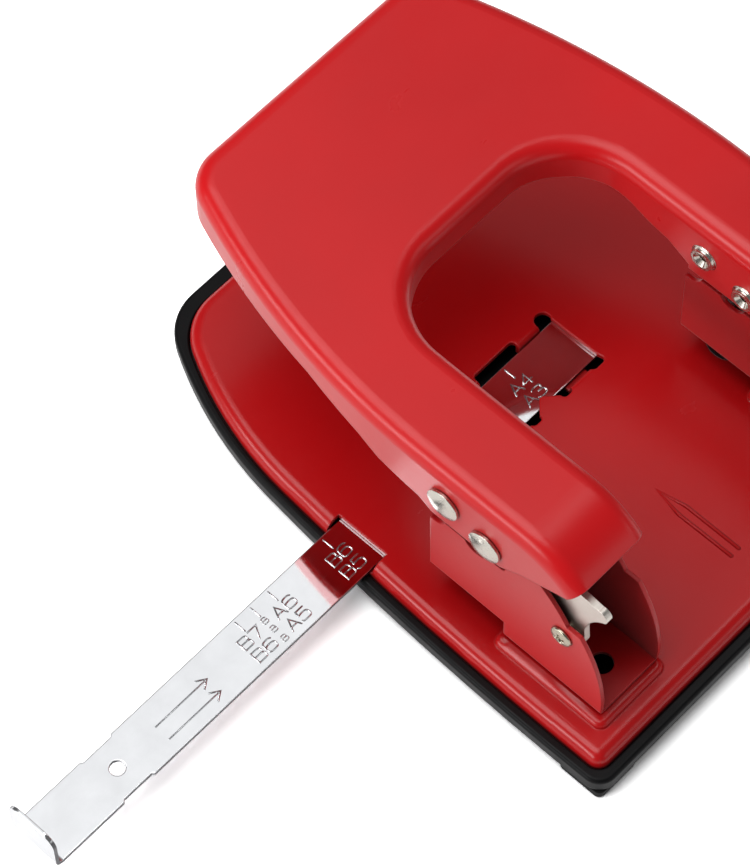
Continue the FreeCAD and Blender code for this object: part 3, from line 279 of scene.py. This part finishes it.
def moulded(name, colour, gloss, shine, edge=0.0002):
    """Moulded plastic or rubber: fine grain, dull and shiny patches."""
    mat, shader = new_material(name)
    clouds = noise(mat, scale=60, detail=4)
    tint = ramp(mat, clouds, [(0.3, shaded(colour, 0.75)), (0.7, shaded(colour, 1.3))])
    link(mat, tint, shader.inputs["Base Color"])
    link(mat, spread(mat, noise(mat, scale=220, detail=5), *gloss), shader.inputs["Roughness"])
    bump(mat, shader, noise(mat, scale=2500, detail=2), 0.00002, 0.5, soft_edges(mat, edge))
    shader.inputs["Specular IOR Level"].default_value = shine
    return mat


def metal(name, colour, gloss, grain=None, dent=0.00001, edge=0.0002):
    """Bare or plated metal: grain in the gloss, faint clouds, shallow waves."""
    mat, shader = new_material(name)
    clouds = noise(mat, scale=150, detail=5)
    tint = ramp(mat, clouds, [(0.3, shaded(colour, 0.94)), (0.7, shaded(colour, 1.03))])
    link(mat, tint, shader.inputs["Base Color"])
    brushed = noise(mat, scale=700, detail=4, rough=0.6, squeeze=grain)
    link(mat, spread(mat, brushed, *gloss), shader.inputs["Roughness"])
    shader.inputs["Metallic"].default_value = 1.0
    bump(mat, shader, noise(mat, scale=500, detail=3, squeeze=grain), dent, 0.5, soft_edges(mat, edge))
    return mat


def sheared_and_shaded(mat, colour, rough):
    """Long cut edges of a metal strip along X: duller than its plated faces, and darker, partly as bare cut
    steel and partly as painted shade standing in for the dark reflection of the floor in the strip's own
    shadow.
    """
    colour_in, rough_in = (mat.node_tree.nodes["Principled BSDF"].inputs[name]
                           for name in ("Base Color", "Roughness"))
    parts = add_node(mat, "SeparateXYZ")
    link(mat, add_node(mat, "TexCoord").outputs["Normal"], parts.inputs[0])
    sideways = reckon(mat, "ABSOLUTE", parts.outputs["Y"])
    mask = spread(mat, sideways, 0.0, 1.0, start=0.6, end=0.8)
    # Darker colour of the cut edges: partly bare cut steel, partly painted shade
    bare_and_shaded = ramp(mat, noise(mat, scale=900), [(0.3, shaded(colour, 0.7)), (0.7, colour)])
    link(mat, mixed(mat, "RGBA", mask, colour_in.links[0].from_socket, bare_and_shaded), colour_in)
    link(mat, mixed(mat, "FLOAT", mask, rough_in.links[0].from_socket, rough), rough_in)
    return mat


def cover_node(node, mat):
    mesh = NODES[node].data
    if len(mesh.materials) == 0:
        mesh.materials.append(mat)
    for index in range(len(mesh.materials)):
        mesh.materials[index] = mat


CHROME = metal("ruler_chrome", (0.76, 0.77, 0.79), (0.03, 0.06), (1, 8, 8), dent=0.000002, edge=0.0004)
MATS = {
    # Base, posts and lever are one red enamel: the base plate's darker red is painted shade from the lever
    # above it, and the posts' red is a little darker than the lever's; the posts also get deeper painted
    # shade in their channels
    "base": enamel("base_enamel", (0.52, 0.0040, 0.0060), bloom=0.06, edge=0.0006, tray=True),
    "post": enamel("post_enamel", (0.62, 0.0045, 0.0075), crevice_shade=0.22, gloss=(0.30, 0.42)),
    "lever": enamel("lever_enamel", (0.67, 0.005, 0.008), gloss=(0.24, 0.36)),
    "cover": moulded("cover_plastic", (0.005, 0.005, 0.0055), (0.3, 0.42), shine=0.12),
    "foot": moulded("foot_rubber", (0.008, 0.008, 0.008), (0.6, 0.8), shine=0.2),
    "ruler": sheared_and_shaded(CHROME, (0.14, 0.14, 0.15), rough=0.4),
    "arm": metal("arm_nickel", (0.69, 0.645, 0.585), (0.36, 0.46), (1, 3, 1)),
    "rivet": metal("rivet_nickel", (0.57, 0.54, 0.48), (0.20, 0.30)),
    "pivot": metal("pivot_zinc", (0.46, 0.42, 0.33), (0.2, 0.30)),
    "punch": metal("punch_steel", (0.50, 0.50, 0.51), (0.22, 0.34), (6, 6, 1)),
    "spring": metal("spring_wire", (0.46, 0.46, 0.47), (0.25, 0.35)),
    "die": metal("die_steel", (0.10, 0.10, 0.105), (0.3, 0.45)),
}
SINGLE_NODES = {"base_plate": "base", "base_cover": "cover", "feet": "foot", "ruler": "ruler",
                "lever": "lever", "post_rivets": "post"}
PAIRED_NODES = {"post": "post", "die": "die", "guide": "die", "punch": "punch", "cross_pin": "punch",
                "spring_washer": "punch", "spring": "spring", "arm": "arm", "pivot_sleeve": "pivot",
                "pivot_screw": "pivot", "lever_rivets": "rivet", "rivet_sleeves": "rivet"}
for node, kind in SINGLE_NODES.items():
    cover_node(node, MATS[kind])
for side in ("right_", "left_"):
    for node, kind in PAIRED_NODES.items():
        cover_node(side + node, MATS[kind])


# Mesh helpers

def skin(mesh, rows):
    """Faces between rings of points that follow each other."""
    for low, high in zip(rows, rows[1:]):
        for step in range(len(low)):
            after = (step + 1) % len(low)
            mesh.faces.new((low[step], high[step], high[after], low[after]))


def finished(name, mesh, mat, body):
    """Smooth piece in its material, riding on its body."""
    bmesh.ops.recalc_face_normals(mesh, faces=mesh.faces)
    for face in mesh.faces:
        face.smooth = True
    data = bpy.data.meshes.new(name)
    mesh.to_mesh(data)
    mesh.free()
    piece = bpy.data.objects.new(name, data)
    bpy.context.scene.collection.objects.link(piece)
    data.materials.append(mat)
    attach(piece, body)
    return piece


# Raised marks on the ruler and on the base plate, in mm

BEAD_ARCS = 8
BEAD_ENDS = (75, 50, 25)
MARK_FOOT, MARK_RISE = 8.69, 0.09
LINES_X = (-0.4, 57.3, 74.4, 79.7, 84.4)
LINE_Y = (-8.5, -5.6)
LINE_WIDTH = 0.42
PAPER_MARKS = ((-0.4, "A4", "A3"), (57.2, "B6", "B5"), (74.3, "A6", "A5"), (84.4, "B7", "B6"))
PAPER_SHIFT = 3.2
PAPER_ROWS = (-2.15, 1.95)
PAPER_LETTER = {"height": 2.8, "wide": 2.6, "gap": 0.6, "width": LINE_WIDTH, "rise": MARK_RISE}
SMALL_X = 80.5
SMALL_ROWS = (-3.5, -0.8, 2.4)
SMALL_LETTER = {"height": 1.5, "wide": 1.4, "gap": 0, "width": 0.3, "rise": 0.8 * MARK_RISE}
ARROWS_Y = (-3.6, 0.45)
SHAFT_X, SHAFT_WIDTH = (113.2, 98.3), 0.4
HEAD_SHAPE, HEAD_WIDTH = ((100.0, -1.35), (98.0, 0), (100.0, 1.35)), 0.45
CENTRE_OUTLINE = ((-1.25, 58.3), (-1.3, 43.4), (0.0, 36.3), (1.3, 43.4), (1.25, 58.3))
CENTRE_WIDTH, CENTRE_RISE, CENTRE_FOOT = 1.05, 0.16, 9.99

# Strokes of each character in a cell one wide and one high; True marks a curved stroke
STROKES = {
    "A": [(False, [(0, 0), (0.5, 1), (1, 0)]), (False, [(0.2, 0.32), (0.8, 0.32)])],
    "B": [(False, [(0, 0), (0, 1)]),
          (True, [(0, 1), (0.65, 1), (0.9, 0.95), (0.92, 0.75), (0.9, 0.56), (0.65, 0.53), (0.05, 0.53)]),
          (True, [(0.6, 0.53), (0.95, 0.5), (1, 0.27), (0.95, 0.02), (0.65, 0), (0, 0)])],
    "3": [(True, [(0, 0.9), (0.15, 1), (0.75, 1), (0.95, 0.9), (0.9, 0.6), (0.45, 0.54)]),
          (True, [(0.45, 0.54), (1, 0.5), (1.02, 0.1), (0.8, 0), (0.15, 0), (0, 0.12)])],
    "4": [(False, [(0.72, 0), (0.72, 1), (0, 0.3), (1, 0.3)])],
    "5": [(False, [(0.92, 1), (0.12, 1), (0.05, 0.58)]),
          (True, [(0.05, 0.58), (0.35, 0.64), (0.85, 0.64), (1.04, 0.45), (1.0, 0.05), (0.7, 0), (0.1, 0),
                  (0, 0.12)])],
    "6": [(True, [(0.95, 0.9), (0.8, 1), (0.25, 1), (0, 0.85), (0, 0.1), (0.2, 0), (0.8, 0), (1, 0.12),
                  (1, 0.5), (0.8, 0.6), (0.2, 0.6), (0, 0.45)])],
    "7": [(False, [(0, 1), (1, 1), (0.35, 0)])],
    "8": [(True, [(0.5, 0.54), (0.1, 0.56), (0.08, 0.95), (0.4, 1.02), (0.9, 0.97), (0.95, 0.6),
                  (0.5, 0.54), (0.02, 0.5), (0, 0.05), (0.5, -0.02), (1, 0.05), (1, 0.5), (0.5, 0.54)])],
}


def smoothed(path, rounds=2):
    """Cut the corners of an open path in each round, at a quarter of its stretches."""
    for _ in range(rounds):
        cut = [path[0]]
        for first, second in zip(path, path[1:]):
            cut.append(first.lerp(second, 0.25))
            cut.append(first.lerp(second, 0.75))
        path = cut + [path[-1]]
    return path


def side_of(path, index):
    """Sideways direction at a point of the path, lengthened on a corner, at most to double."""
    before = (path[index] - path[max(index - 1, 0)]).normalized()
    after = (path[min(index + 1, len(path) - 1)] - path[index]).normalized()
    if index == 0:
        before = after
    if index == len(path) - 1:
        after = before
    along = (before + after).normalized()
    stretch = 1 / max(along.dot(after), 0.5)
    return Vector((-along.y, along.x)) * stretch


def add_bead(mesh, points, width, rise, foot, curved=False):
    """Rounded rib along points in the XY plane."""
    path = [Vector((u * MM, v * MM)) for u, v in points]
    if curved:
        path = smoothed(path)
    half, rise, foot = width * MM / 2, rise * MM, foot * MM
    rows = []

    def row(centre, side, scale):
        ring = []
        for step in range(BEAD_ARCS + 1):
            turn = math.pi * step / BEAD_ARCS
            out, up = math.cos(turn) * half * scale, math.sin(turn) * rise * scale
            ring.append(mesh.verts.new((centre.x + side.x * out, centre.y + side.y * out, foot + up)))
        rows.append(ring)

    def end(index, outward, turns):
        for turn in turns:
            angle = math.radians(turn)
            row(path[index] + outward * half * math.sin(angle), side_of(path, index), math.cos(angle))

    end(0, (path[0] - path[1]).normalized(), BEAD_ENDS)
    for index, point in enumerate(path):
        row(point, side_of(path, index), 1.0)
    end(len(path) - 1, (path[-1] - path[-2]).normalized(), reversed(BEAD_ENDS))
    skin(mesh, rows)
    mesh.faces.new(rows[0])
    mesh.faces.new(list(reversed(rows[-1])))


def write(mesh, text, start, low, height, wide, gap, width, rise):
    """Raised characters that read toward -X with their tops toward -Y."""
    for place, letter in enumerate(text):
        left = start - place * (wide + gap)
        for curved, stroke in STROKES[letter]:
            points = [(left - u * wide, low - v * height) for u, v in stroke]
            add_bead(mesh, points, width, rise, MARK_FOOT, curved)


def ruler_marks():
    mesh = bmesh.new()
    for x in LINES_X:
        add_bead(mesh, [(x, y) for y in LINE_Y], LINE_WIDTH, MARK_RISE, MARK_FOOT)
    for x, *texts in PAPER_MARKS:
        for text, low in zip(texts, PAPER_ROWS):
            write(mesh, text, x + PAPER_SHIFT, low, **PAPER_LETTER)
    for low in SMALL_ROWS:
        write(mesh, "8", SMALL_X, low, **SMALL_LETTER)
    for y in ARROWS_Y:
        add_bead(mesh, [(x, y) for x in SHAFT_X], SHAFT_WIDTH, MARK_RISE, MARK_FOOT)
        add_bead(mesh, [(x, y + aside) for x, aside in HEAD_SHAPE], HEAD_WIDTH, MARK_RISE, MARK_FOOT)
    finished("ruler_marks", mesh, MATS["ruler"], "ruler_unit")


def centre_mark():
    """Raised arrow outline on the base plate, at the middle of the paper's edge."""
    mesh = bmesh.new()
    add_bead(mesh, CENTRE_OUTLINE, CENTRE_WIDTH, CENTRE_RISE, CENTRE_FOOT)
    finished("centre_mark", mesh, MATS["base"], "base")


# Pivot screws, in mm, each with its axis along X

POST_WALL = 49.35
PIVOT_Y, PIVOT_Z = 52.3, 34.2
SCREW_RADIUS = 2.7
SCREW_RIM = 0.45
SCREW_DOME = 0.75
DOME_POWER = 2.4
SHANK_RADIUS, SHANK_LENGTH = 1.44, 3.4
CROSS_DEPTH = 0.75
CROSS_REACH, CROSS_HALF = 1.45, 0.42
CROSS_END_SLOPE, CROSS_SIDE_SLOPE = 0.45, 0.16
CROSS_TILT = math.radians(18)
SCREW_RINGS, SCREW_STEPS = 30, 96


def cross_depth(u, v):
    """Depth of the cross recess of a screw head at a place on it."""
    deepest = 0.0
    for along, across in ((u, v), (v, u)):
        inside = min((CROSS_REACH - abs(along)) / CROSS_END_SLOPE,
                     (CROSS_HALF - abs(across)) / CROSS_SIDE_SLOPE, 1.0)
        deepest = max(deepest, inside)
    return deepest * CROSS_DEPTH


def dome_rise(reach):
    return SCREW_RIM + SCREW_DOME * math.sqrt(max(0.0, 1 - (reach / SCREW_RADIUS) ** DOME_POWER))


def pivot_screw(word, side):
    """Screw with a low domed head and a cross recess."""
    mesh = bmesh.new()

    def point(reach, rise, angle):
        u, v = reach * math.cos(angle), reach * math.sin(angle)
        return mesh.verts.new((side * (POST_WALL + rise) * MM, (PIVOT_Y + u) * MM, (PIVOT_Z + v) * MM))

    angles = [2 * math.pi * step / SCREW_STEPS for step in range(SCREW_STEPS)]
    rows = []
    for ring in range(1, SCREW_RINGS + 1):
        reach = SCREW_RADIUS * ring / SCREW_RINGS
        row = []
        for angle in angles:
            u, v = reach * math.cos(angle - CROSS_TILT), reach * math.sin(angle - CROSS_TILT)
            row.append(point(reach, dome_rise(reach) - cross_depth(u, v), angle))
        rows.append(row)
    for reach, rise in ((SCREW_RADIUS, 0.0), (SHANK_RADIUS, 0.0), (SHANK_RADIUS, -SHANK_LENGTH)):
        rows.append([point(reach, rise, angle) for angle in angles])
    middle = point(0.0, dome_rise(0.0) - CROSS_DEPTH, 0.0)
    for step in range(SCREW_STEPS):
        mesh.faces.new((middle, rows[0][step], rows[0][(step + 1) % SCREW_STEPS]))
    skin(mesh, rows)
    mesh.faces.new(rows[-1])
    piece = finished(word + "_screw", mesh, MATS["pivot"], "base")
    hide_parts(word + "_pivot_screw")


# Return springs, which shorten as their punch goes down; each coil is built once here, to fill the box of its
# spring part

WIRE = 0.0008
TURNS = 4.5
STEPS_PER_TURN = 40
WIRE_SIDES = 12
CLOSED_PITCH = 1.1 * WIRE
CLOSED_TURNS = 0.5
OPENING_TURNS = 0.5


def eased(value):
    value = min(1.0, max(0.0, value))
    return value * value * (3 - 2 * value)


def coil_heights(low, high):
    """Height of each step along the wire: the end turns lie close and the others stand open."""
    steps = round(TURNS * STEPS_PER_TURN)
    close = CLOSED_PITCH / STEPS_PER_TURN
    turns = [(step + 0.5) / STEPS_PER_TURN for step in range(steps)]
    openness = [eased((turn - CLOSED_TURNS) / OPENING_TURNS)
                * eased((TURNS - CLOSED_TURNS - turn) / OPENING_TURNS) for turn in turns]
    extra = (high - low - close * steps) / sum(openness)
    heights = [low]
    for share in openness:
        heights.append(heights[-1] + close + extra * share)
    return heights


def coil(low, high):
    """Wire of a spring that fills the box between two corners, and the middle of that box."""
    middle = (Vector(low) + Vector(high)) / 2
    radius = (high[0] - low[0] - WIRE) / 2
    mesh = bmesh.new()
    rows = []
    for step, height in enumerate(coil_heights(low[2] + WIRE / 2, high[2] - WIRE / 2)):
        angle = step / STEPS_PER_TURN * 2 * math.pi
        outward = Vector((math.cos(angle), math.sin(angle), 0))
        centre = Vector((middle.x, middle.y, height)) + outward * radius
        row = []
        for corner in range(WIRE_SIDES):
            turn = corner / WIRE_SIDES * 2 * math.pi
            aside = outward * math.cos(turn) + Vector((0, 0, math.sin(turn)))
            row.append(mesh.verts.new(centre + aside * WIRE / 2))
        rows.append(row)
    skin(mesh, rows)
    mesh.faces.new(rows[0])
    mesh.faces.new(rows[-1])
    return mesh, middle


def return_spring(side):
    low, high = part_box(side + "_spring")
    mesh, middle = coil(low, high)
    piece = finished(side + "_coil", mesh, MATS["spring"], "base")
    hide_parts(side + "_spring")
    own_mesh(piece)


for side in ("right", "left"):
    return_spring(side)
ruler_marks()
centre_mark()
pivot_screw("right", 1)
pivot_screw("left", -1)


# Stage: floor, light and camera

FLOOR_HALF = 6.0
FLOOR_DROP = 0.0002
FLOOR_WHITE = 0.62
FLOOR_MIRRORED = 1.3
FLOOR_SEEN = 2.1
FLOOR_FADING = 0.6
WORLD_LIGHT = 0.16
WORLD_SEEN = 1.5

# Name, place, point aimed at, size and power of each lamp
LAMPS = (
    ("patch", (-0.28, -0.49, 1.30), (0, 0, 0), (0.55, 0.35), 0.46),
    ("heel", (-0.47, 0.02, 1.30), (0.04, 0.04, 0.06), (0.35, 0.44), 1.1),
    ("far", (-0.95, -0.80, 1.60), (0, 0, 0), (1.8, 1.8), 2.0),
    ("top", (0.28, -0.30, 1.30), (0, 0, 0), (0.9, 0.9), 9.1),
    ("side", (1.30, -0.47, 0.52), (0, 0, 0.02), (1.2, 0.35), 10.5),
    ("rear", (-0.55, 1.20, 0.50), (0, 0, 0.02), (1.2, 0.4), 1.6),
)

# Camera: lens and sensor in mm, its axes and its place
CAMERA_LENS, CAMERA_SENSOR = 166.47, 36
CAMERA_PLACE = Matrix((
    (-0.686344, -0.637261, 0.350472, 0.335654),
    (0.727161, -0.592695, 0.346337, 0.282967),
    (-0.012984, 0.492556, 0.870184, 0.766391),
    (0, 0, 0, 1)))


def white_floor():
    """White that looks a little brighter than it is, also far off where the lamps fade."""
    mat, shader = new_material("floor_white")
    mat.node_tree.nodes.remove(shader)
    ray = add_node(mat, "LightPath").outputs
    plain_or_mirrored = mixed(mat, "RGBA", ray["Is Glossy Ray"], (FLOOR_WHITE,) * 3, (FLOOR_MIRRORED,) * 3)
    place = surface(mat, "Position")
    fading = reckon(mat, "ADD", reckon(mat, "MULTIPLY", dot(mat, place, place), FLOOR_FADING), 1.0)
    seen = reckon(mat, "MULTIPLY", square(mat, fading), FLOOR_SEEN)
    matt = add_node(mat, "BsdfDiffuse")
    link(mat, mixed(mat, "RGBA", ray["Is Camera Ray"], plain_or_mirrored, seen), matt.inputs["Color"])
    link(mat, matt.outputs["BSDF"], mat.node_tree.nodes["Material Output"].inputs["Surface"])
    return mat


def make_floor():
    mesh = bpy.data.meshes.new("floor")
    corners = [(x * FLOOR_HALF, y * FLOOR_HALF, 0) for x, y in ((-1, -1), (1, -1), (1, 1), (-1, 1))]
    mesh.from_pydata(corners, [], [(0, 1, 2, 3)])
    mesh.materials.append(white_floor())
    floor = bpy.data.objects.new("floor", mesh)
    floor.location.z = -FLOOR_DROP
    bpy.context.scene.collection.objects.link(floor)


def make_lamp(name, place, aim, size, power):
    data = bpy.data.lights.new(name, "AREA")
    data.shape = "RECTANGLE"
    data.size, data.size_y = size
    data.energy = power
    item = bpy.data.objects.new(name, data)
    item.location = place
    item.rotation_euler = (Vector(aim) - Vector(place)).to_track_quat("-Z", "Y").to_euler()
    bpy.context.scene.collection.objects.link(item)


def make_world():
    world = bpy.data.worlds.new("studio")
    bpy.context.scene.world = world
    world.use_nodes = True
    seen = add_node(world, "LightPath").outputs["Is Camera Ray"]
    colour = mixed(world, "RGBA", seen, (WORLD_LIGHT,) * 3, (WORLD_SEEN,) * 3)
    link(world, colour, world.node_tree.nodes["Background"].inputs["Color"])


def make_camera():
    data = bpy.data.cameras.new("camera")
    data.lens = CAMERA_LENS
    data.sensor_width = CAMERA_SENSOR
    data.clip_end = 20
    item = bpy.data.objects.new("camera", data)
    bpy.context.scene.collection.objects.link(item)
    item.matrix_world = CAMERA_PLACE
    bpy.context.scene.camera = item


make_floor()
make_world()
for lamp in LAMPS:
    make_lamp(*lamp)
make_camera()
bpy.context.scene.view_settings.view_transform = "Standard"
